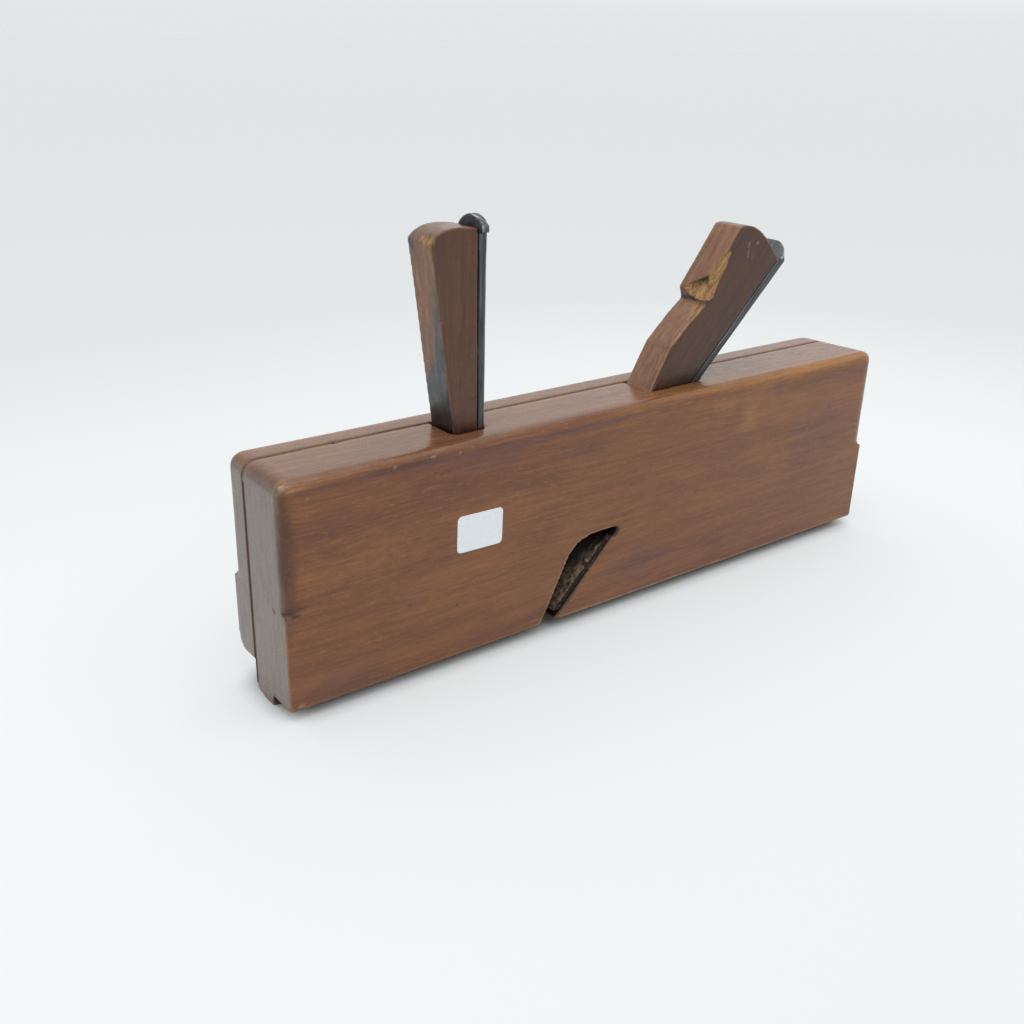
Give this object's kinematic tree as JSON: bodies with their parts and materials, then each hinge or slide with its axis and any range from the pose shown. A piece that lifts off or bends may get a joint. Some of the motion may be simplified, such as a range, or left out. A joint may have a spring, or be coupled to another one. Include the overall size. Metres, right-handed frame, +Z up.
{
  "type": "dado plane",
  "caption": "Wooden dado plane with a stepped sole and a side escapement; an upright scoring iron and a slanting cutting iron are each held by a wooden wedge.",
  "frame": {"origin": "On the sole of the lip, the plane's lowest face, under the middle of the body.", "axes": "+X from the toe end to the heel end, +Y from the near face, with the escapement, to the far cheek, +Z up."},
  "size_m": [0.3352, 0.0432, 0.1789],
  "materials": {
    "stock_wood": "old waxed fruitwood, worn edges",
    "cheek_wood": "old waxed fruitwood, greyed",
    "wedge_wood": "old fruitwood, handled and split",
    "iron_steel": "forged steel, dark patina",
    "screw_steel": "slotted steel, dull"
  },
  "bodies": {
    "body": {"stock": "stock_wood", "far_cheek": "cheek_wood", "cheek_screw_1": "screw_steel", "cheek_screw_2": "screw_steel", "cheek_screw_3": "screw_steel", "cheek_screw_4": "screw_steel"},
    "cutting_iron": {"cutting_iron": "iron_steel"},
    "cutting_wedge": {"cutting_wedge": "wedge_wood"},
    "scoring_iron": {"scoring_iron": "iron_steel"},
    "scoring_wedge": {"scoring_wedge": "wedge_wood"}
  },
  "joints": [
    {"name": "cutting_iron_slide", "type": "slide", "parent": "body", "child": "cutting_iron", "axis": [0.7145, 0, 0.6997], "range_m": [-0.006, 0.003]},
    {"name": "cutting_wedge_draw", "type": "slide", "parent": "body", "child": "cutting_wedge", "axis": [0.706, 0, 0.7082], "range_m": [0, 0.08]},
    {"name": "scoring_iron_slide", "type": "slide", "parent": "body", "child": "scoring_iron", "axis": [0, 0, 1], "range_m": [-0.0025, 0.06]},
    {"name": "scoring_wedge_draw", "type": "slide", "parent": "body", "child": "scoring_wedge", "axis": [-0.0123, 0, 0.9999], "range_m": [0, 0.06]}
  ]
}
